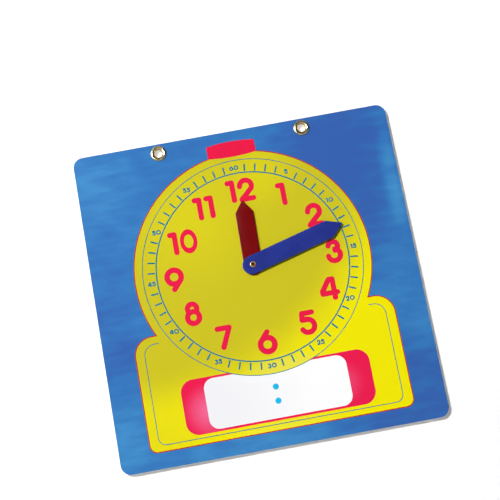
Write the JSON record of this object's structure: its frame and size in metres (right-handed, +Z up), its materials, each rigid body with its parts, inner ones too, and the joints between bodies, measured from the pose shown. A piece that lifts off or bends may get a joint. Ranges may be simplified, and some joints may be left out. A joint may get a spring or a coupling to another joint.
{
  "type": "demonstration clock",
  "caption": "Square laminated teaching clock board with plastic hands that turn on a hollow rivet, and brass grommets to hang it by.",
  "frame": {"origin": "midway between the centres of the grommets, on the back face of the board", "axes": "+Z up the board towards 12 o'clock, +X towards 3 o'clock, and +Y out of the back of the board, so the printed face looks along -Y"},
  "size_m": [0.3048, 0.007, 0.3048],
  "materials": {
    "printed_card": "matt printed board",
    "laminate_film": "clear, glossy",
    "grommet_brass": "pressed and plated",
    "rivet_brass": "pressed and plated",
    "spacer_plastic": "satin",
    "red_plastic": "semi-gloss",
    "blue_plastic": "semi-gloss"
  },
  "bodies": {
    "board": {"back_laminate_film": "laminate_film", "printed_card": "printed_card", "front_laminate_film": "laminate_film", "left_grommet": "grommet_brass", "left_grommet_washer": "grommet_brass", "right_grommet": "grommet_brass", "right_grommet_washer": "grommet_brass", "pivot_eyelet": "rivet_brass", "pivot_back_washer": "rivet_brass", "board_spacer": "spacer_plastic", "hand_spacer": "spacer_plastic"},
    "hour_hand": {"hour_hand": "red_plastic"},
    "minute_hand": {"minute_hand": "blue_plastic"}
  },
  "joints": [
    {"name": "hour_hand_turn", "type": "hinge", "parent": "board", "child": "hour_hand", "pos_m": [0, 0, -0.1241], "axis": [0, 1, 0], "continuous": true},
    {"name": "minute_hand_turn", "type": "hinge", "parent": "board", "child": "minute_hand", "pos_m": [0, 0, -0.1241], "axis": [0, 1, 0], "continuous": true}
  ]
}
